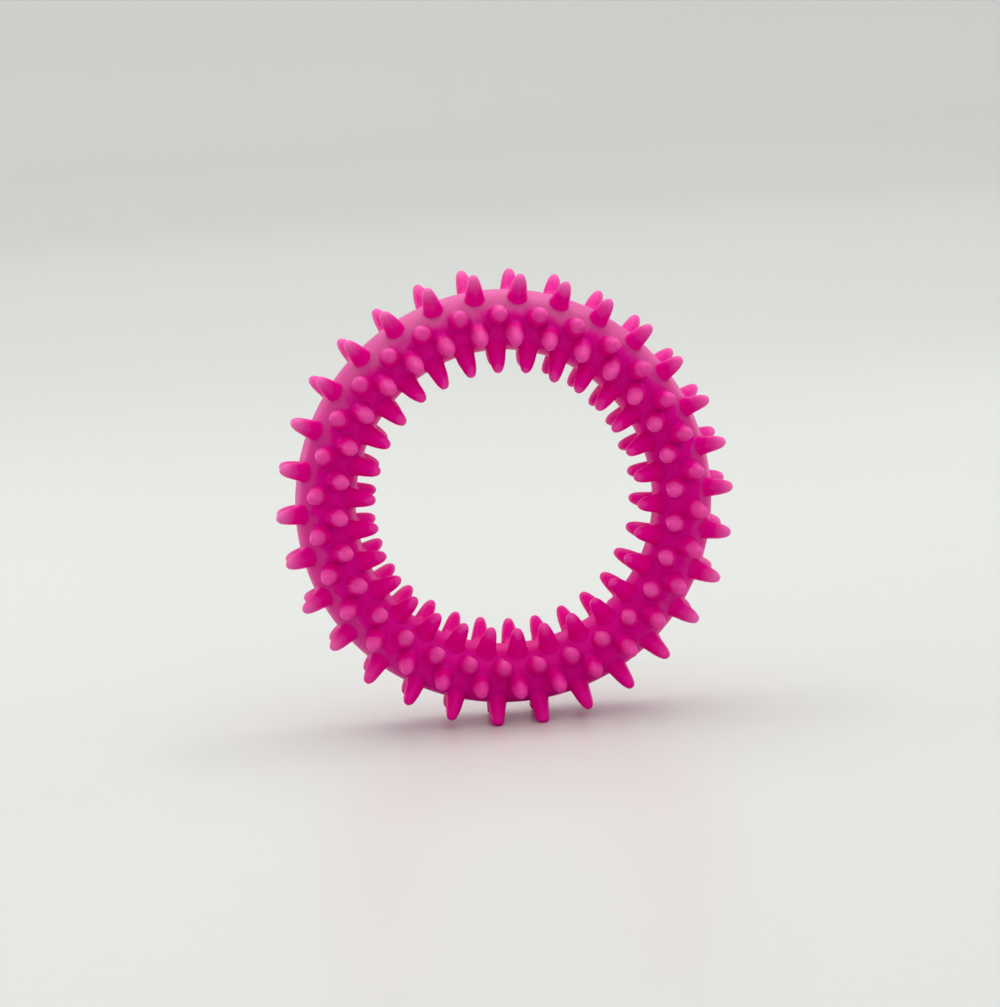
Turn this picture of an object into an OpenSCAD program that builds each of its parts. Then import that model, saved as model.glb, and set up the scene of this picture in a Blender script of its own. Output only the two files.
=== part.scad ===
// Ring-shaped chew toy: a solid round tube bent into a circle, with eight rows of soft
// rounded spikes. It stands on edge, as on a shelf. The ring's axis lies along Y, the
// front faces -Y, +Z is up and the origin is at the centre of the ring.

/* [Ring] */
// Diameter of the circle that the middle of the tube runs along
ring_d = 80; // [66:0.5:110]
// Thickness of the round tube
tube_d = 13.4; // [11:0.1:16]

/* [Spikes] */
// Height of a spike above the tube
spike_h = 6.5; // [3:0.1:9]
// Thickness of a spike at its root
spike_root_d = 4.4; // [2.5:0.1:5]
// How quickly a spike narrows from its root: a higher value makes a sharper spike
spike_taper = 0.3; // [0.24:0.02:0.6]
// Number of spikes in each row, an even count so that the ring stands level
spikes_per_row = 30; // [16:2:34]

/* [Rows] */
// Angle of the outer edge rows, in degrees from straight out of the ring
outer_edge_angle = 36.5; // [30:0.5:42]
// Angle of the outer face rows, in degrees from straight out of the ring
outer_face_angle = 76; // [70:0.5:80]
// Angle of the inner face rows, in degrees from straight out of the ring
inner_face_angle = 106; // [100:0.5:110]
// Angle of the inner edge rows, in degrees from straight out of the ring
inner_edge_angle = 145.5; // [138:0.5:150]

/* [Hidden] */

// Radii of the tube and of a spike's root
tube_r = tube_d / 2;
spike_root_r = spike_root_d / 2;
// Turn from one spike to the next in a row, and the turn that staggers every other row
step_angle = 360 / spikes_per_row;
stagger_angle = step_angle / 2;
// Share of its root thickness that a spike is drawn into the tube before it is trimmed
root_sink_share = 0.3;
root_sink = root_sink_share * spike_root_d;
// Smoothness: bands in a spike's outline, then sides of a spike, of the tube and of the ring
spike_bands = 6;
spike_sides = 32;
tube_sides = 64;
ring_sides = 180;

// Radius of a spike at a depth below its tip: blunt at the tip, nearly straight at the root
function spike_r(depth) = spike_root_r * pow(depth / spike_h, spike_taper);

// Half outline of a spike, from the tip down to the root and straight into the tube.
// The bands lie closer together towards the tip, where the outline curves most.
function spike_outline() = concat(
    [for (band = [0:spike_bands]) let (depth = spike_h * pow(band / spike_bands, 2))
        [spike_r(depth), tube_r + spike_h - depth]],
    [[spike_root_r, tube_r - root_sink], [0, tube_r - root_sink]]
);

// One spike, standing along +Z, with the middle of the tube at the origin
module spike() rotate_extrude($fn = spike_sides) polygon(spike_outline());

// The bare tube, lying flat round the Z axis
module flat_tube()
    rotate_extrude($fn = ring_sides) translate([ring_d / 2, 0]) circle(d = tube_d, $fn = tube_sides);

// A row of spikes seated on the tube, lying flat. An angle above 0 points them to the front,
// below 0 to the back, and turn_angle shifts the whole row round the ring.
module flat_row(angle, turn_angle) {
    difference() {
        for (i = [0:spikes_per_row - 1])
            rotate([0, 0, i * step_angle + turn_angle])
                translate([ring_d / 2, 0, 0])
                    rotate([0, 90 - angle, 0])
                        spike();
        flat_tube();
    }
}

// Stands a flat piece on edge, with the side that faced up now facing the front
module on_edge() rotate([90, 0, 0]) children();

module ring_tube() color("deeppink") on_edge() flat_tube();
module front_outer_edge_spikes() color("hotpink") on_edge() flat_row(outer_edge_angle, 0);
module front_outer_face_spikes() color("hotpink") on_edge() flat_row(outer_face_angle, stagger_angle);
module front_inner_face_spikes() color("hotpink") on_edge() flat_row(inner_face_angle, 0);
module front_inner_edge_spikes() color("hotpink") on_edge() flat_row(inner_edge_angle, stagger_angle);
module back_outer_edge_spikes() color("hotpink") on_edge() flat_row(-outer_edge_angle, 0);
module back_outer_face_spikes() color("hotpink") on_edge() flat_row(-outer_face_angle, stagger_angle);
module back_inner_face_spikes() color("hotpink") on_edge() flat_row(-inner_face_angle, 0);
module back_inner_edge_spikes() color("hotpink") on_edge() flat_row(-inner_edge_angle, stagger_angle);

ring_tube();
front_outer_edge_spikes();
front_outer_face_spikes();
front_inner_face_spikes();
front_inner_edge_spikes();
back_outer_edge_spikes();
back_outer_face_spikes();
back_inner_face_spikes();
back_inner_edge_spikes();
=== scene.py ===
"""Looks of a ring-shaped rubber chew toy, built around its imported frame.

The toy is one soft moulding: a round tube bent into a circle, with eight rows of thirty blunt
spikes. It stands on edge on a pale studio floor. The ring's axis lies along Y, the front faces
-Y, +Z is up, and every length is in metres.
"""

import logging
import math
import random
from collections.abc import Callable, Mapping
from dataclasses import dataclass, field
from enum import Enum

import bmesh
import bpy
from mathutils import Matrix, Vector


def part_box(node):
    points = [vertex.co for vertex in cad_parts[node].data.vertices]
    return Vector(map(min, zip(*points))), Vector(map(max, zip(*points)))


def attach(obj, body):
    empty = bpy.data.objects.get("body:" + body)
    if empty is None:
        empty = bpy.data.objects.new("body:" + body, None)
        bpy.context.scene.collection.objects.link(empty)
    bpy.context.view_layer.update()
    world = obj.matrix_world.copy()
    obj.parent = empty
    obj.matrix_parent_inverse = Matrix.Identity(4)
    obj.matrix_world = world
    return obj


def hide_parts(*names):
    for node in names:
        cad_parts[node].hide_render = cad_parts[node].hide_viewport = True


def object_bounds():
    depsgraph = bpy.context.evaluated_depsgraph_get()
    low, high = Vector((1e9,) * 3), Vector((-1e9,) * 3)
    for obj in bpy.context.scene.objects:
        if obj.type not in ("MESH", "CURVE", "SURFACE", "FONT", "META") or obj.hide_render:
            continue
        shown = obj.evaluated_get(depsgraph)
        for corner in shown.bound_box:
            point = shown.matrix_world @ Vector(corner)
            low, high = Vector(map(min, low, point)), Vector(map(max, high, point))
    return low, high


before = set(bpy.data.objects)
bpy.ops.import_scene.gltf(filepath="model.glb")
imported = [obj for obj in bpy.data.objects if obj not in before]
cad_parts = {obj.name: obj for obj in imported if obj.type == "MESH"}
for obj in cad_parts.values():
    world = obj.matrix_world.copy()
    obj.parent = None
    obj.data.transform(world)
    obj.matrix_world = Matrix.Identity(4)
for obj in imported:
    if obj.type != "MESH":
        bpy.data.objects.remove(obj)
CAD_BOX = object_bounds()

log = logging.getLogger("chew_ring")

MM = 0.001
FULL_TURN = 2 * math.pi
Colour = tuple[float, float, float, float]
Place = tuple[float, float, float]

# How near to each other two vertices are merged
WELD = 0.001 * MM
# How near to a flat ring's level a vertex counts as lying in it
LEVEL = 0.01 * MM
# How near to a ring's radius a vertex counts as lying on it
CLOSE = 0.5 * MM
# How far the toy's weight flattens the tips that it rests on
PRESS = 0.6 * MM
# Where the draws that bend the soft tips start
DICE_SEED = 11
# Which tone curve bends red, green and blue alike
WHOLE_CURVE = 3


# The bench: edit-mode work on one mesh at a time


def take_alone(piece: bpy.types.Object) -> None:
    """Deselects everything and takes one piece as the active object.

    Args:
        piece: the object that the next operators act on.
    """
    bpy.ops.object.select_all(action="DESELECT")
    piece.select_set(True)
    bpy.context.view_layer.objects.active = piece


def set_down(piece: bpy.types.Object) -> None:
    """Moves a piece's place and turn into its mesh, so that its object sits at the origin."""
    take_alone(piece)
    bpy.ops.object.transform_apply(location=True, rotation=True, scale=True)


class Bench:
    """One mesh opened in edit mode, whose vertices are picked in code by their place."""

    def __init__(self, piece: bpy.types.Object) -> None:
        """Keeps the piece that the work is done on."""
        self.piece = piece

    def __enter__(self) -> "Bench":
        """Opens the piece in edit mode with nothing else selected.

        Returns:
            This bench.
        """
        take_alone(self.piece)
        bpy.ops.object.mode_set(mode="EDIT")
        bpy.ops.mesh.select_mode(type="VERT")
        return self

    def __exit__(self, *_: object) -> None:
        """Closes edit mode."""
        bpy.ops.object.mode_set(mode="OBJECT")

    def pick(self, wanted: Callable[[Vector], bool]) -> list[Vector]:
        """Selects only the vertices whose places pass a test, and what lies between them.

        Args:
            wanted: says of a vertex's place in the frame whether it is taken.

        Returns:
            The places of the vertices selected.
        """
        bpy.ops.mesh.select_all(action="DESELECT")
        mesh = bmesh.from_edit_mesh(self.piece.data)
        world = self.piece.matrix_world
        taken = [v for v in mesh.verts if wanted(world @ v.co)]
        for vertex in taken:
            vertex.select_set(True)
        mesh.select_flush(True)
        bmesh.update_edit_mesh(self.piece.data)
        return [world @ v.co for v in taken]

    def keep_group(self, name: str) -> None:
        """Keeps the selected vertices as a group of the given name."""
        bpy.ops.object.vertex_group_assign_new()
        self.piece.vertex_groups[-1].name = name


def finish_modifier(piece: bpy.types.Object, name: str) -> None:
    """Applies a piece's modifier of the given name to its mesh."""
    take_alone(piece)
    bpy.ops.object.modifier_apply(modifier=name)


# Shader sheets: nodes and sums written as Python


class Value:
    """A number that varies over a surface: one output socket, with sums written as Python."""

    def __init__(self, sheet: "NodeSheet", socket: bpy.types.NodeSocket) -> None:
        """Keeps the socket and the sheet that its sums are drawn on."""
        self.sheet = sheet
        self.socket = socket

    def _sum(self, operation: str, first: object, second: object = 0.0) -> "Value":
        """Adds one Math node and returns its result."""
        made = self.sheet.node("ShaderNodeMath", {"operation": operation}, {0: first, 1: second})
        return Value(self.sheet, made.outputs[0])

    def __add__(self, other: object) -> "Value":
        """This value plus another."""
        return self._sum("ADD", self, other)

    def __radd__(self, other: object) -> "Value":
        """Another value plus this one."""
        return self._sum("ADD", other, self)

    def __sub__(self, other: object) -> "Value":
        """This value less another."""
        return self._sum("SUBTRACT", self, other)

    def __rsub__(self, other: object) -> "Value":
        """Another value less this one."""
        return self._sum("SUBTRACT", other, self)

    def __mul__(self, other: object) -> "Value":
        """This value times another."""
        return self._sum("MULTIPLY", self, other)

    def __rmul__(self, other: object) -> "Value":
        """Another value times this one."""
        return self._sum("MULTIPLY", other, self)

    def __truediv__(self, other: object) -> "Value":
        """This value over another."""
        return self._sum("DIVIDE", self, other)

    def __rtruediv__(self, other: object) -> "Value":
        """Another value over this one."""
        return self._sum("DIVIDE", other, self)

    def root(self) -> "Value":
        """The square root of this value."""
        return self._sum("SQRT", self)

    def ease(self, low: object, high: object) -> "Value":
        """A smooth step of this value.

        Args:
            low: where the step leaves 0.
            high: where the step reaches 1.

        Returns:
            The step, from 0 to 1.
        """
        made = self.sheet.node(
            "ShaderNodeMapRange",
            {"interpolation_type": "SMOOTHSTEP", "clamp": True},
            {"Value": self, "From Min": low, "From Max": high, "To Min": 0.0, "To Max": 1.0},
        )
        return Value(self.sheet, made.outputs["Result"])


class NodeSheet:
    """One node tree, to which nodes are added by type, settings and inputs."""

    def __init__(self, tree: bpy.types.NodeTree) -> None:
        """Starts from an empty tree."""
        self.tree = tree
        tree.nodes.clear()

    def node(
        self,
        kind: str,
        settings: Mapping[str, object] | None = None,
        inputs: Mapping[str | int, object] | None = None,
    ) -> bpy.types.Node:
        """Adds one node.

        Args:
            kind: the node's type.
            settings: the node's own options, set before its sockets.
            inputs: a number, colour, vector, Value or output socket for each named input.

        Returns:
            The new node.
        """
        made = self.tree.nodes.new(kind)
        for name, setting in (settings or {}).items():
            setattr(made, name, setting)
        for name, given in (inputs or {}).items():
            socket = made.inputs[name]
            source = given.socket if isinstance(given, Value) else given
            if isinstance(source, bpy.types.NodeSocket):
                self.tree.links.new(source, socket)
            else:
                socket.default_value = source
        return made

    def place(self) -> tuple[Value, Value, Value]:
        """The object's own coordinates, which are the frame's, as three values."""
        split = self.node("ShaderNodeSeparateXYZ", inputs={0: self.object_vector()})
        return tuple(Value(self, split.outputs[i]) for i in range(3))

    def object_vector(self) -> bpy.types.NodeSocket:
        """The object's own coordinates as a vector."""
        return self.node("ShaderNodeTexCoord").outputs["Object"]

    def noise(self, scale: float, detail: float = 2.0) -> Value:
        """Cloudy noise in the object's own coordinates.

        Args:
            scale: cells to the metre.
            detail: finer layers on top of the first.

        Returns:
            The noise, from 0 to 1 and mostly near a half.
        """
        made = self.node(
            "ShaderNodeTexNoise",
            {"noise_dimensions": "3D"},
            {"Vector": self.object_vector(), "Scale": scale, "Detail": detail},
        )
        return Value(self, made.outputs[0])

    def centred_noise(self, scale: float) -> Value:
        """The same noise, swinging evenly to both sides of 0."""
        return self.noise(scale) - 0.5

    def blend(self, share: Value | float, first: object, second: object) -> bpy.types.NodeSocket:
        """Mixes two colours.

        Args:
            share: how much of the second colour shows.
            first: a colour or a colour's socket.
            second: a colour or a colour's socket.

        Returns:
            The mixed colour's socket.
        """
        made = self.node(
            "ShaderNodeMix",
            {"data_type": "RGBA", "clamp_factor": True},
            {0: share, 6: first, 7: second},
        )
        return made.outputs[2]


# Finishes


@dataclass(frozen=True)
class TipTone:
    """How a row's tips pale: thin translucent rubber, and partly a painted highlight.

    Attributes:
        start: height above the tube where the paling sets in.
        edge: depth of its soft edge.
        near: how pale the rubber is just past that edge.
        far: how pale it is at the very tip.
        fade: how much of the paling is missing near the floor, as painted shade.
        drop: how much lower the paling sets in along the ring's top, as painted light from above.
        wander: how much the edge's height varies with the mottling.
    """

    start: float = 2.3 * MM
    edge: float = 2.0 * MM
    near: float = 0.5
    far: float = 0.55
    fade: float = 0.3
    drop: float = 0.0
    wander: float = 5.0 * MM


@dataclass(frozen=True)
class SoftRubber:
    """The matt, slightly cloudy pink rubber of the whole moulding.

    The colour is deep on the tube's face. A painted highlight pales the outer side of the
    ring, most of all along the top, where painted light from above adds to it. Painted shade
    keeps the skin deep near the floor. The thin tips pale, partly as translucent rubber and
    partly as a painted highlight.

    Attributes:
        name: the material's name.
        ring_r: radius of the circle that the middle of the tube runs along.
        tube_r: radius of the tube.
        deep: colour of the tube's face.
        painted_side_highlight: colour of the ring's outer side, a painted highlight.
        painted_top_light: colour of the skin along the top of the ring, painted light from above.
        stem: colour of a spike below its tip.
        pale: colour of the tips, partly translucent rubber and partly a painted highlight.
        outer_span: cosines of the lean from straight out between which the painted highlight sets in.
        top_span: the same along the top of the ring.
        shaded: heights in the frame below which painted shade keeps the skin deep, and above which it
            pales.
        aloft: heights in the frame between which the painted light from above sets in.
        stem_span: heights above the tube between which the stem's colour sets in.
        tip: how the tips pale.
        tip_top: height above the tube, just past a tip, at which the paling ends.
        roughness: how dull the moulded skin is, where 0 is a mirror.
        gloss_scale: duller and glossier patches to the metre.
        gloss_depth: how much the dullness varies with them.
        cloud_scale: clouds to the metre.
        cloud_detail: finer layers in a cloud.
        cloud_span: noise between which a cloud thins out.
        cloud_depth: how much darker a cloud is.
        mottle_scale: mottles to the metre, which break up the edges of the paling.
        mottle_reach: how much the edges on the skin vary with them.
        grain_scale: grains to the metre.
        grain_height: height of the grain.
        grain_strength: how strongly the grain tilts the light.
        index: how much the rubber bends light.
        shine: strength of the mirrored light.
        through: share of the light that goes in and comes out nearby.
        through_reach: how far it travels inside.
        through_tint: shares of that reach for red, green and blue.
        bloom: strength of the soft light at grazing angles.
        bloom_spread: how far that light spreads.
        bloom_tint: its colour.
    """

    name: str
    ring_r: float
    tube_r: float
    deep: Colour = (0.77, 0.002, 0.323, 1.0)
    painted_side_highlight: Colour = (0.71, 0.043, 0.315, 1.0)
    painted_top_light: Colour = (0.69, 0.109, 0.35, 1.0)
    stem: Colour = (0.77, 0.001, 0.294, 1.0)
    pale: Colour = (0.82, 0.135, 0.43, 1.0)
    outer_span: tuple[float, float] = (0.30, 0.52)
    top_span: tuple[float, float] = (0.05, 0.60)
    shaded: tuple[float, float] = (-42 * MM, -28 * MM)
    aloft: tuple[float, float] = (12 * MM, 42 * MM)
    stem_span: tuple[float, float] = (0.08 * MM, 0.4 * MM)
    tip: TipTone = TipTone()
    tip_top: float = 6.9 * MM
    roughness: float = 0.40
    gloss_scale: float = 440.0
    gloss_depth: float = 0.12
    cloud_scale: float = 110.0
    cloud_detail: float = 3.0
    cloud_span: tuple[float, float] = (0.35, 0.65)
    cloud_depth: float = 0.08
    mottle_scale: float = 260.0
    mottle_reach: float = 1.0
    grain_scale: float = 2600.0
    grain_height: float = 0.02 * MM
    grain_strength: float = 0.6
    index: float = 1.5
    shine: float = 0.2
    through: float = 0.45
    through_reach: float = 1.0 * MM
    through_tint: tuple[float, float, float] = (1.0, 0.4, 0.7)
    bloom: float = 0.04
    bloom_spread: float = 0.5
    bloom_tint: Colour = (1.0, 0.82, 0.93, 1.0)

    def mix(self) -> bpy.types.Material:
        """Builds the material.

        Returns:
            The new material.
        """
        material = bpy.data.materials.new(self.name)
        material.use_nodes = True
        sheet = NodeSheet(material.node_tree)
        x, y, z = sheet.place()
        off_centre = (x * x + z * z).root() - self.ring_r
        reach = (off_centre * off_centre + y * y).root()
        height = reach - self.tube_r
        mottle = sheet.centred_noise(self.mottle_scale)
        out = off_centre / reach + mottle * self.mottle_reach
        # Painted shade: below these heights the skin stays deep near the floor
        clear = z.ease(*self.shaded)
        cloud = sheet.noise(self.cloud_scale, self.cloud_detail)
        clouded = tuple(c * (1 - self.cloud_depth) for c in self.deep[:3]) + (1.0,)
        body = sheet.blend(cloud.ease(*self.cloud_span), clouded, self.deep)
        # Painted highlight on the ring's outer side, kept off where painted shade lies low down
        body = sheet.blend(out.ease(*self.outer_span) * clear, body, self.painted_side_highlight)
        # Painted light from above along the top of the ring
        body = sheet.blend(out.ease(*self.top_span) * z.ease(*self.aloft), body, self.painted_top_light)
        body = sheet.blend(height.ease(*self.stem_span), body, self.stem)
        # Along the top of the ring the tips pale lower down, as painted light from above
        start = self.tip.start - z.ease(*self.aloft) * self.tip.drop
        past = start + self.tip.edge
        uneven = height + mottle * self.tip.wander
        # The tips pale, partly as translucent rubber and partly as a painted highlight
        milky_and_highlit = uneven.ease(start, past) * self.tip.near
        milky_and_highlit = milky_and_highlit + height.ease(past, self.tip_top) * (self.tip.far - self.tip.near)
        # Painted shade near the floor takes part of the tips' paling away
        milky_and_highlit = milky_and_highlit * (clear * self.tip.fade + (1 - self.tip.fade))
        colour = sheet.blend(milky_and_highlit, body, self.pale)
        gloss = self.roughness + sheet.centred_noise(self.gloss_scale) * self.gloss_depth
        bump = sheet.node(
            "ShaderNodeBump",
            inputs={
                "Strength": self.grain_strength,
                "Distance": self.grain_height,
                "Height": sheet.noise(self.grain_scale),
            },
        )
        skin = sheet.node(
            "ShaderNodeBsdfPrincipled",
            {"subsurface_method": "RANDOM_WALK"},
            {
                "Base Color": colour,
                "Roughness": gloss,
                "Normal": bump.outputs[0],
                "IOR": self.index,
                "Specular IOR Level": self.shine,
                "Subsurface Weight": self.through,
                "Subsurface Radius": self.through_tint,
                "Subsurface Scale": self.through_reach,
                "Sheen Weight": self.bloom,
                "Sheen Roughness": self.bloom_spread,
                "Sheen Tint": self.bloom_tint,
            },
        )
        sheet.node("ShaderNodeOutputMaterial", inputs={"Surface": skin.outputs[0]})
        return material


@dataclass(frozen=True)
class StudioSheet:
    """The pale, faintly glossy sheet that the toy stands on.

    Attributes:
        name: the material's name.
        colour: the sheet's colour.
        roughness: how dull it is, where 0 is a mirror.
        shine: strength of the mirrored light.
    """

    name: str = "studio_sheet"
    colour: Colour = (0.652, 0.664, 0.640, 1.0)
    roughness: float = 0.38
    shine: float = 0.35

    def mix(self) -> bpy.types.Material:
        """Builds the material.

        Returns:
            The new material.
        """
        material = bpy.data.materials.new(self.name)
        material.use_nodes = True
        sheet = NodeSheet(material.node_tree)
        skin = sheet.node(
            "ShaderNodeBsdfPrincipled",
            inputs={
                "Base Color": self.colour,
                "Roughness": self.roughness,
                "Specular IOR Level": self.shine,
            },
        )
        sheet.node("ShaderNodeOutputMaterial", inputs={"Surface": skin.outputs[0]})
        return material


# The moulding


class Side(Enum):
    """The face of the ring that a row of spikes points to, as a step along Y."""

    FRONT = -1
    BACK = 1


@dataclass(frozen=True)
class RowPlace:
    """Where a row of spikes runs round the tube.

    Attributes:
        name: the row's place in words, as in its CAD node's name.
        lean_deg: angle from straight out of the ring.
        staggered: whether the row is turned half a step round the ring.
        tip: how its tips pale.
    """

    name: str
    lean_deg: float
    staggered: bool
    tip: TipTone


class Rows(Enum):
    """The four places of spike rows on each side of the ring."""

    # Painted shade keeps most of these tips' paling off near the floor
    OUTER_EDGE = RowPlace(
        name="outer_edge",
        lean_deg=36.5,
        staggered=False,
        tip=TipTone(start=2.1 * MM, edge=1.4 * MM, near=0.24, far=1.0, fade=0.9),
    )
    OUTER_FACE = RowPlace(name="outer_face", lean_deg=76.0, staggered=True, tip=TipTone())
    # Painted light from above lets these tips pale lower down along the top of the ring
    INNER_FACE = RowPlace(
        name="inner_face", lean_deg=106.0, staggered=False, tip=TipTone(drop=1.4 * MM)
    )
    INNER_EDGE = RowPlace(
        name="inner_edge",
        lean_deg=145.5,
        staggered=True,
        tip=TipTone(start=4.8 * MM, edge=0.8 * MM, near=0.25, far=0.5, fade=0.0),
    )


@dataclass(frozen=True)
class Slump:
    """The small ways in which the soft ring, as it stands, strays from a true one.

    Angles round the ring run from +X towards +Z. All the shifts stay below a millimetre.

    Attributes:
        oval: two-lobed growth of the ring, along its cosine and its sine.
        lobe: three-lobed growth of the ring, along its sine.
        roll_deg: turn of the spikes about the tube's middle, outer side towards the front: an
            even part, then along the cosine, the sine and the double cosine.
        drift_deg: how far each row has crept round the ring from its true place.
    """

    oval: tuple[float, float] = (0.15 * MM, -0.14 * MM)
    lobe: float = -0.26 * MM
    roll_deg: tuple[float, float, float, float] = (0.58, 2.72, 0.87, -0.61)
    drift_deg: float = 0.45

    def growth(self, angle: float) -> float:
        """How far the ring has moved outwards.

        Args:
            angle: the angle round the ring.

        Returns:
            The distance.
        """
        return (
            self.oval[0] * math.cos(2 * angle)
            + self.oval[1] * math.sin(2 * angle)
            + self.lobe * math.sin(3 * angle)
        )

    def roll(self, angle: float) -> float:
        """How far the spikes have turned about the tube's middle.

        Args:
            angle: the angle round the ring.

        Returns:
            The turn in radians.
        """
        even, cosine, sine, double = self.roll_deg
        return math.radians(
            even
            + cosine * math.cos(angle)
            + sine * math.sin(angle)
            + double * math.cos(2 * angle)
        )

    def settle(self, piece: bpy.types.Object) -> None:
        """Moves each vertex of a finished piece outwards with the ring.

        Args:
            piece: the piece, in its place.
        """
        for vertex in piece.data.vertices:
            place = vertex.co
            out = Vector((place.x, 0, place.z)).normalized()
            vertex.co = place + out * self.growth(math.atan2(place.z, place.x))


@dataclass
class RingTube:
    """The bare round tube, spun from one circle, with the mould's faint parting lines.

    Attributes:
        ring_r: radius of the circle that the middle of the tube runs along.
        tube_r: radius of the tube.
        profile_sides: sides of the circle that is spun.
        ring_steps: steps of the spin.
        seam_width: width of the parting line's ridge.
        seam_height: height of the ridge above the tube.
        piece: the tube's object, once it is built.
    """

    ring_r: float
    tube_r: float
    profile_sides: int = 64
    ring_steps: int = 240
    seam_width: float = 0.45 * MM
    seam_height: float = 0.07 * MM
    piece: bpy.types.Object | None = field(default=None, init=False)

    def build(self) -> None:
        """Spins the tube and raises its parting lines."""
        bpy.ops.mesh.primitive_circle_add(
            vertices=self.profile_sides,
            radius=self.tube_r,
            fill_type="NOTHING",
            location=(self.ring_r, 0, 0),
        )
        self.piece = bpy.context.object
        self.piece.name = "moulded_ring_tube"
        set_down(self.piece)
        with Bench(self.piece) as bench:
            bpy.ops.mesh.select_all(action="SELECT")
            bpy.ops.mesh.spin(
                steps=self.ring_steps, angle=FULL_TURN, center=(0, 0, 0), axis=(0, 1, 0)
            )
            bpy.ops.mesh.select_all(action="SELECT")
            bpy.ops.mesh.remove_doubles(threshold=WELD)
            bpy.ops.mesh.normals_make_consistent(inside=False)
            for out in (1, -1):
                self._raise_seam(bench, out)
        take_alone(self.piece)
        bpy.ops.object.shade_smooth()

    def _raise_seam(self, bench: Bench, out: int) -> None:
        """Turns the tube's outermost or innermost loop into a low ridge.

        Args:
            bench: the opened tube.
            out: 1 for the outer loop, -1 for the inner one.
        """
        loop_r = self.ring_r + out * self.tube_r

        def on_loop(place: Vector) -> bool:
            """Says whether a vertex lies on the loop."""
            return abs(place.y) < LEVEL and abs(math.hypot(place.x, place.z) - loop_r) < CLOSE

        bench.pick(on_loop)
        bpy.ops.mesh.bevel(
            offset_type="OFFSET", offset=self.seam_width / 2, segments=2, affect="EDGES"
        )
        bench.pick(on_loop)
        grown = 1 + out * self.seam_height / loop_r
        bpy.ops.transform.resize(value=(grown, 1, grown), center_override=(0, 0, 0))

    def dress(self, rubber: bpy.types.Material) -> None:
        """Gives the tube its rubber and its place in the frame.

        Args:
            rubber: the moulding's material.
        """
        self.piece.data.materials.append(rubber)
        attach(self.piece, "root")
        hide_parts("ring_tube")


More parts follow.
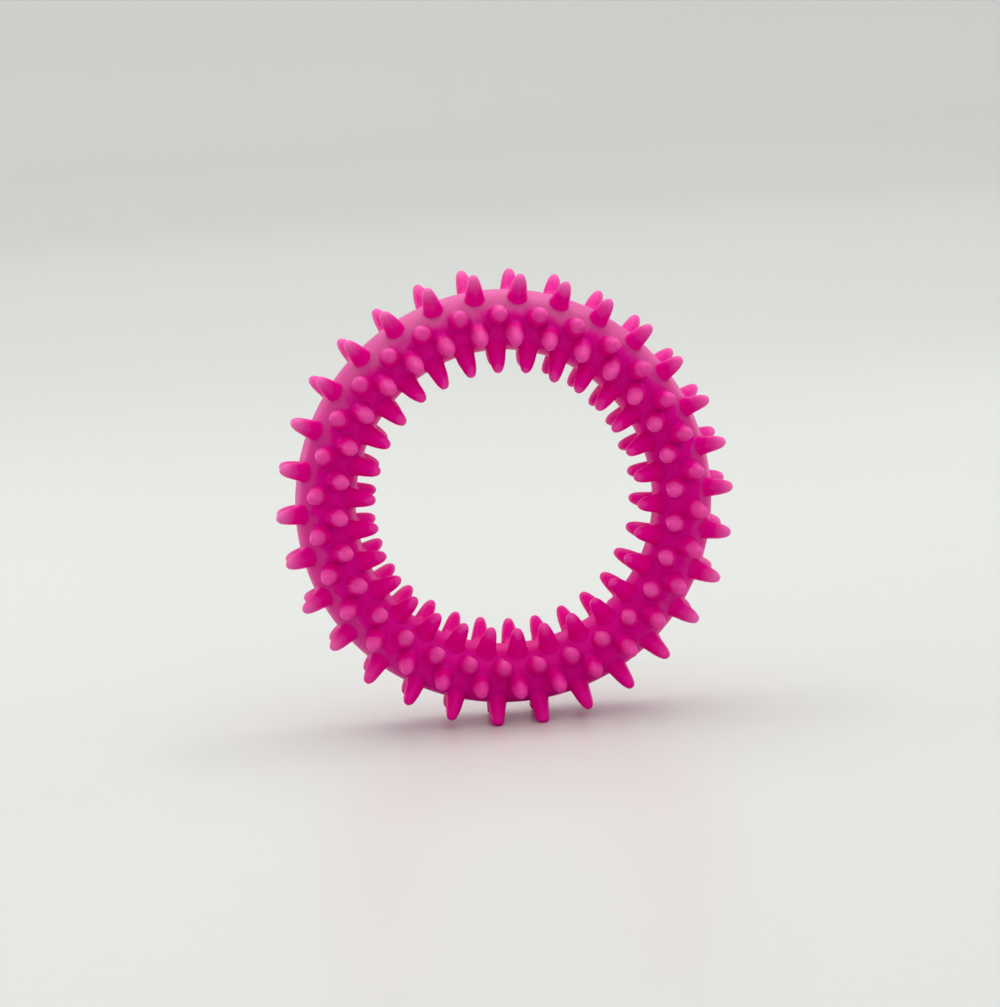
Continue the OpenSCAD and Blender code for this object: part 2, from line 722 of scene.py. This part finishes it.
@dataclass
class SpikeRow:
    """One row of blunt spikes round the tube, each flared into it at the root.

    Attributes:
        side: the face of the ring that the row points to.
        place: where the row runs.
        tube: the tube that the spikes stand on.
        slump: how the soft ring strays from a true one.
        height: height of a spike above the tube.
        root_r: radius of a spike at its root.
        taper: how quickly a spike narrows.
        count: spikes in the row.
        sides: sides of a spike.
        depths: depths below the tip of the rings that shape a spike.
        flare: how far the fillet at the root spreads over the tube.
        skirt_stand: height from which the fillet's lower ring is dropped onto the tube.
        skirt_lift: how far above the tube's skin that ring ends, which is just under it.
        fillet_stand: height from which the fillet's upper ring is dropped.
        fillet_lift: how far above the skin that ring ends.
        fillet_share: share of the flare that the upper ring spreads.
        sink: how far the spike reaches under the tube's skin.
        smooth_deg: angle between faces up to which their edge is shaded smooth.
        sway: usual distance by which a soft tip is bent aside.
        still_root: length at the root that the bend leaves still.
        tip_near: how far from its reckoned place a tip may be found.
        pressed_height: height of the stretch that swells on a tip that the row rests on.
        swell: how many times wider that stretch becomes.
        piece: the row's object, once it is built.
    """

    side: Side
    place: RowPlace
    tube: RingTube
    slump: Slump
    height: float = 6.5 * MM
    root_r: float = 2.2 * MM
    taper: float = 0.3
    count: int = 30
    sides: int = 12
    depths: tuple[float, ...] = (5.2 * MM, 3.2 * MM, 1.6 * MM, 0.6 * MM, 0.14 * MM)
    flare: float = 0.55 * MM
    skirt_stand: float = 0.6 * MM
    skirt_lift: float = -0.03 * MM
    fillet_stand: float = 0.8 * MM
    fillet_lift: float = 0.09 * MM
    fillet_share: float = 0.3
    sink: float = 1.3 * MM
    smooth_deg: float = 50.0
    sway: float = 0.16 * MM
    still_root: float = 0.5 * MM
    tip_near: float = 0.05 * MM
    pressed_height: float = 1.3 * MM
    swell: float = 1.28
    piece: bpy.types.Object | None = field(default=None, init=False)

    @property
    def node(self) -> str:
        """The CAD node that the row stands for."""
        return f"{self.side.name.lower()}_{self.place.name}_spikes"

    @property
    def axis(self) -> Vector:
        """The direction of the row's first spike, before the row is turned."""
        lean = math.radians(self.place.lean_deg)
        return Vector((math.cos(lean), self.side.value * math.sin(lean), 0))

    @property
    def drift(self) -> float:
        """The row's creep: outer rows one way and inner ones the other, and reversed at the back."""
        outer = 1 if self.place.lean_deg < 90 else -1
        return outer * self.side.value * math.radians(self.slump.drift_deg)

    def radius_at(self, depth: float) -> float:
        """The radius of a spike at a depth below its tip."""
        return self.root_r * (depth / self.height) ** self.taper

    def _first_spike(self) -> bpy.types.Object:
        """Draws the row's first spike up from a circle under the tube's skin.

        Returns:
            The spike's object, whose own Z runs along the spike.
        """
        middle = Vector((self.tube.ring_r, 0, 0))
        turn = self.side.value * math.radians(self.place.lean_deg)
        bpy.ops.mesh.primitive_circle_add(
            vertices=self.sides,
            radius=self.root_r,
            fill_type="NOTHING",
            location=middle + self.axis * (self.tube.tube_r - self.sink),
            rotation=(0, math.pi / 2, turn),
        )
        spike = bpy.context.object
        root = self.tube.tube_r
        top = root + self.height
        skirt, fillet = root + self.skirt_stand, root + self.fillet_stand
        rings = [
            (skirt, self.root_r + self.flare),
            (fillet, self.root_r + self.fillet_share * self.flare),
        ] + [(top - depth, self.radius_at(depth)) for depth in self.depths]
        with Bench(spike) as bench:
            bpy.ops.mesh.select_all(action="SELECT")
            at, wide = root - self.sink, self.root_r
            for height, radius in rings:
                bpy.ops.mesh.extrude_region_move(
                    TRANSFORM_OT_translate={"value": self.axis * (height - at)}
                )
                bpy.ops.transform.resize(
                    value=(radius / wide,) * 3, center_override=middle + self.axis * height
                )
                at, wide = height, radius
            bpy.ops.mesh.extrude_region_move(
                TRANSFORM_OT_translate={"value": self.axis * (top - at)}
            )
            bpy.ops.mesh.merge(type="CENTER")
            for name, height in (("skirt", skirt), ("fillet", fillet)):
                bench.pick(lambda p: abs((p - middle).dot(self.axis) - height) < LEVEL)
                bench.keep_group(name)
            bench.pick(lambda p: (p - middle).dot(self.axis) < root - self.sink / 2)
            bpy.ops.mesh.edge_face_add()
            bpy.ops.mesh.select_all(action="SELECT")
            bpy.ops.mesh.normals_make_consistent(inside=False)
        for group, lift in (("skirt", self.skirt_lift), ("fillet", self.fillet_lift)):
            self._seat(spike, group, lift)
        return spike

    def _seat(self, spike: bpy.types.Object, group: str, lift: float) -> None:
        """Drops one ring of a spike along its axis onto the tube's skin.

        Args:
            spike: the spike, whose own Z runs along it.
            group: the ring's vertex group.
            lift: how far above the skin the ring ends.
        """
        wrap = spike.modifiers.new(group, "SHRINKWRAP")
        wrap.target = self.tube.piece
        wrap.vertex_group = group
        wrap.wrap_method = "PROJECT"
        wrap.use_project_z = True
        wrap.use_negative_direction = True
        wrap.use_positive_direction = False
        wrap.offset = lift
        finish_modifier(spike, group)

    def build(self, dice: random.Random) -> None:
        """Models one spike, copies it round the ring and joins the row.

        Args:
            dice: the draws that bend each tip a little.
        """
        first = self._first_spike()
        set_down(first)
        take_alone(first)
        bpy.ops.object.shade_smooth_by_angle(angle=math.radians(self.smooth_deg))
        step = FULL_TURN / self.count
        start = (step / 2 if self.place.staggered else 0) + self.drift
        middle = Vector((self.tube.ring_r, 0, 0))
        reach = self.axis * (self.tube.tube_r + self.height)
        spikes = []
        for number in range(self.count):
            take_alone(first)
            bpy.ops.object.duplicate(linked=False)
            spike = bpy.context.object
            angle = number * step + start
            roll = self.slump.roll(angle)
            bpy.ops.transform.rotate(
                value=roll, orient_axis="Z", orient_type="GLOBAL", center_override=middle
            )
            bpy.ops.transform.rotate(
                value=angle, orient_axis="Y", orient_type="GLOBAL", center_override=(0, 0, 0)
            )
            set_down(spike)
            # With no window the two turns run backwards, so the tip's place follows with -roll and -angle
            tip = middle + Matrix.Rotation(-roll, 4, "Z") @ reach
            self._bend(spike, dice, Matrix.Rotation(-angle, 4, "Y") @ tip)
            spikes.append(spike)
        bpy.data.objects.remove(first)
        take_alone(spikes[0])
        for spike in spikes[1:]:
            spike.select_set(True)
        bpy.ops.object.join()
        self.piece = bpy.context.object
        self.piece.name = f"moulded_{self.node}"
        self.slump.settle(self.piece)

    def _bend(self, spike: bpy.types.Object, dice: random.Random, tip: Vector) -> None:
        """Bends one soft tip a little to the side.

        Args:
            spike: the spike, in its place.
            dice: the draws of how far and which way.
            tip: where the tip should be.
        """
        aside = Vector([dice.gauss(0, self.sway) for _ in range(3)])
        with Bench(spike) as bench:
            if not bench.pick(lambda p: (p - tip).length < self.tip_near):
                log.warning("%s: no tip near %s", self.node, tip)
            bpy.ops.transform.translate(
                value=aside,
                use_proportional_edit=True,
                proportional_edit_falloff="SMOOTH",
                proportional_size=self.height - self.still_root,
                use_proportional_connected=True,
            )

    def rest_on(self, floor_z: float) -> None:
        """Presses flat the tips that the row rests on, and swells them where they are pressed.

        Args:
            floor_z: height of the floor.
        """
        pressed_z = floor_z + self.pressed_height
        with Bench(self.piece) as bench:
            if not bench.pick(lambda p: p.z < floor_z):
                return
            bpy.ops.transform.resize(value=(1, 1, 0), center_override=(0, 0, floor_z))
            for left in (True, False):
                pressed = bench.pick(lambda p: p.z < pressed_z and (p.x < 0) == left)
                if pressed:
                    middle = sum(pressed, Vector()) / len(pressed)
                    bpy.ops.transform.resize(
                        value=(self.swell, self.swell, 1), center_override=middle
                    )

    def dress(self, rubber: bpy.types.Material) -> None:
        """Gives the row its rubber and its place in the frame.

        Args:
            rubber: the moulding's material.
        """
        self.piece.data.materials.append(rubber)
        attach(self.piece, "root")
        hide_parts(self.node)


# The studio


@dataclass(frozen=True)
class PhotoView:
    """The photograph's viewpoint, found from where the spike tips lie in it.

    The focal length is chosen, because one picture this flat doesn't settle it.

    Attributes:
        yaw_deg: how far the camera is turned to its right.
        pitch_deg: how far it looks down.
        roll_deg: how far it is tilted about its own axis.
        distance: from the camera to the ring's middle.
        rightward: how far the ring's middle lies to the right of the picture's middle.
        upward: how far it lies above the picture's middle.
        focal_px: focal length in pixels of the image.
        long_side_px: the image's longer side.
        sensor: width of the sensor in millimetres.
        nearest: distance from which things are seen.
        farthest: distance up to which they are seen.
    """

    yaw_deg: float = 6.66
    pitch_deg: float = 7.55
    roll_deg: float = -3.62
    distance: float = 671.7 * MM
    rightward: float = 1.04 * MM
    upward: float = 1.15 * MM
    focal_px: float = 3000.0
    long_side_px: float = 1007.0
    sensor: float = 36.0
    nearest: float = 10 * MM
    farthest: float = 60.0

    def set_up(self) -> None:
        """Makes the camera and hands it to the scene."""
        yaw, pitch, roll = (
            math.radians(a) for a in (self.yaw_deg, self.pitch_deg, self.roll_deg)
        )
        ahead = Vector(
            (
                math.sin(yaw) * math.cos(pitch),
                math.cos(yaw) * math.cos(pitch),
                -math.sin(pitch),
            )
        )
        level = Vector((math.cos(yaw), -math.sin(yaw), 0))
        up = level.cross(ahead)
        right = math.cos(roll) * level + math.sin(roll) * up
        top = math.cos(roll) * up - math.sin(roll) * level
        stand = -self.distance * ahead - self.rightward * right - self.upward * top
        bpy.ops.object.camera_add(location=stand)
        camera = bpy.context.object
        camera.name = "photo_view"
        camera.rotation_mode = "QUATERNION"
        camera.rotation_quaternion = Matrix((right, top, -ahead)).transposed().to_quaternion()
        camera.data.sensor_width = self.sensor
        camera.data.lens = self.focal_px * self.sensor / self.long_side_px
        camera.data.clip_start = self.nearest
        camera.data.clip_end = self.farthest
        bpy.context.scene.camera = camera


@dataclass(frozen=True)
class Softbox:
    """One soft white light, as a rectangle that faces a point.

    Attributes:
        name: the light's name.
        stand: where its middle is.
        width: its width.
        depth: its other side.
        glow: how bright its face looks.
        aim: the point that it faces.
    """

    name: str
    stand: Place
    width: float
    depth: float
    glow: float
    aim: Place = (0.0, 0.0, 0.0)

    def hang(self) -> None:
        """Makes the light."""
        facing = (Vector(self.aim) - Vector(self.stand)).to_track_quat("-Z", "Y")
        bpy.ops.object.light_add(type="AREA", location=self.stand, rotation=facing.to_euler())
        light = bpy.context.object
        light.name = self.name
        light.data.shape = "RECTANGLE"
        light.data.size = self.width
        light.data.size_y = self.depth
        light.data.energy = self.glow * math.pi * self.width * self.depth
        light.visible_camera = False


@dataclass(frozen=True)
class Glow:
    """A broad soft patch of light in the surroundings.

    Attributes:
        azimuth_deg: its direction round the toy, from +X towards the back.
        height_deg: its height above the horizon.
        strength: its brightness in the middle.
        spread_deg: how far from its middle it starts to fade, and where it ends.
    """

    azimuth_deg: float
    height_deg: float
    strength: float
    spread_deg: tuple[float, float] = (8.0, 48.0)

    def over(self, sheet: NodeSheet, direction: bpy.types.NodeSocket) -> Value:
        """Draws the patch over the directions round the toy.

        Args:
            sheet: the surroundings' node sheet.
            direction: the socket that gives a direction.

        Returns:
            The patch's brightness.
        """
        azimuth, height = math.radians(self.azimuth_deg), math.radians(self.height_deg)
        middle = (
            math.cos(azimuth) * math.cos(height),
            math.sin(azimuth) * math.cos(height),
            math.sin(height),
        )
        made = sheet.node(
            "ShaderNodeVectorMath", {"operation": "DOT_PRODUCT"}, {0: direction, 1: middle}
        )
        near, far = (math.cos(math.radians(a)) for a in self.spread_deg)
        return Value(sheet, made.outputs["Value"]).ease(far, near) * self.strength


@dataclass(frozen=True)
class Studio:
    """The pale floor, the soft surroundings and the softboxes.

    Attributes:
        floor_z: height of the floor.
        sweep: the sweep's outline from the floor up to its rim, as distances and heights.
        sweep_sides: sides of the sweep, seen from above.
        toe: tones before and after the curve that darkens the deepest of them.
        glows: the soft patches of light all round.
        softboxes: the lights.
    """

    floor_z: float
    sweep: tuple[tuple[float, float], ...] = (
        (3.4, 0.0), (4.2, 0.06), (4.9, 0.26), (5.4, 0.6), (5.7, 1.1), (5.8, 1.8)
    )
    sweep_sides: int = 96
    toe: tuple[tuple[float, float], ...] = (
        (0.0167, 0.0034), (0.03, 0.0154), (0.1, 0.0866), (0.5, 0.49)
    )
    glows: tuple[Glow, ...] = (
        Glow(180, 48, 1.02),
        Glow(300, 48, 0.83),
        Glow(270, 12, 0.77),
        Glow(0, 48, 0.68),
        Glow(0, 12, 0.67),
        Glow(90, 12, 0.57),
        Glow(240, 48, 0.29),
        Glow(120, 48, 0.13),
    )
    softboxes: tuple[Softbox, ...] = (
        Softbox("key_right", (0.381, 0.102, 0.809), 0.20, 0.20, 6.61),
        Softbox("key_left", (-0.381, 0.102, 0.809), 0.20, 0.20, 4.16),
        Softbox("key_left_low", (-0.547, 0.147, 0.699), 0.20, 0.45, 0.36),
        Softbox("overhead", (0.0, 0.0, 0.90), 0.40, 0.30, 1.84),
        Softbox("back_lamp", (0.0, 0.90, 1.00), 0.60, 0.30, 0.64),
        Softbox("back_left", (-0.70, 0.50, 0.15), 0.36, 0.40, 2.44),
        Softbox("back_right", (0.70, 0.50, 0.15), 0.36, 0.40, 1.59),
        Softbox("front_left", (-0.70, -0.40, 0.15), 0.36, 0.40, 0.40),
        Softbox("far_wide", (0.0, 1.60, 2.60), 3.0, 2.0, 1.50, aim=(0.0, 1.6, 0.0)),
    )

    def _floor(self) -> None:
        """Lays the floor and draws its edge up into a sweep all round."""
        first, rise = self.sweep[0]
        bpy.ops.mesh.primitive_circle_add(
            vertices=self.sweep_sides,
            radius=first,
            fill_type="NOTHING",
            location=(0, 0, self.floor_z + rise),
        )
        floor = bpy.context.object
        floor.name = "studio_floor"
        set_down(floor)
        with Bench(floor) as bench:
            bpy.ops.mesh.select_all(action="SELECT")
            at = first
            for out, up in self.sweep[1:]:
                bpy.ops.mesh.extrude_region_move(
                    TRANSFORM_OT_translate={"value": (0, 0, up - rise)}
                )
                bpy.ops.transform.resize(
                    value=(out / at, out / at, 1), center_override=(0, 0, self.floor_z)
                )
                at, rise = out, up
            bench.pick(lambda p: math.hypot(p.x, p.y) < first + CLOSE)
            bpy.ops.mesh.edge_face_add()
        take_alone(floor)
        bpy.ops.object.shade_smooth()
        floor.data.materials.append(StudioSheet().mix())

    def _surroundings(self) -> None:
        """Makes the soft patches of light all round."""
        world = bpy.data.worlds.new("studio_surroundings")
        world.use_nodes = True
        sheet = NodeSheet(world.node_tree)
        direction = sheet.node("ShaderNodeTexCoord").outputs["Generated"]
        glow = sum(patch.over(sheet, direction) for patch in self.glows)
        around = sheet.node(
            "ShaderNodeBackground", inputs={"Color": (1.0, 1.0, 1.0, 1.0), "Strength": glow}
        )
        sheet.node("ShaderNodeOutputWorld", inputs={"Surface": around.outputs[0]})
        bpy.context.scene.world = world

    def set_up(self) -> None:
        """Lays the floor, hangs the lights and sets how tones are shown."""
        self._floor()
        self._surroundings()
        for softbox in self.softboxes:
            softbox.hang()
        self._set_tones()

    def _set_tones(self) -> None:
        """Shows tones plainly, with a short dark toe."""
        shown = bpy.context.scene.view_settings
        shown.view_transform = "Standard"
        shown.use_curve_mapping = True
        tones = shown.curve_mapping.curves[WHOLE_CURVE]
        for dark, kept in self.toe:
            tones.points.new(dark, kept)
        shown.curve_mapping.update()


def main() -> None:
    """Builds the moulding's pieces in order, then the studio and the camera."""
    logging.basicConfig(level=logging.INFO, format="%(name)s: %(message)s")
    dice = random.Random(DICE_SEED)
    low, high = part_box("ring_tube")
    tube_r = (high.y - low.y) / 2
    ring_r = (high.x - low.x) / 2 - tube_r
    slump = Slump()
    floor_z = CAD_BOX[0].z + PRESS
    tube = RingTube(ring_r, tube_r)
    tube.build()
    tube.dress(SoftRubber("tube_rubber", ring_r, tube_r).mix())
    log.info("%s: %d faces", tube.piece.name, len(tube.piece.data.polygons))
    rubbers = {
        place: SoftRubber(f"{place.value.name}_rubber", ring_r, tube_r, tip=place.value.tip).mix()
        for place in Rows
    }
    for side in Side:
        for place in Rows:
            row = SpikeRow(side, place.value, tube, slump)
            row.build(dice)
            row.rest_on(floor_z)
            row.dress(rubbers[place])
            log.info("%s: %d faces", row.piece.name, len(row.piece.data.polygons))
    slump.settle(tube.piece)
    Studio(floor_z).set_up()
    PhotoView().set_up()


if __name__ == "__main__":
    main()
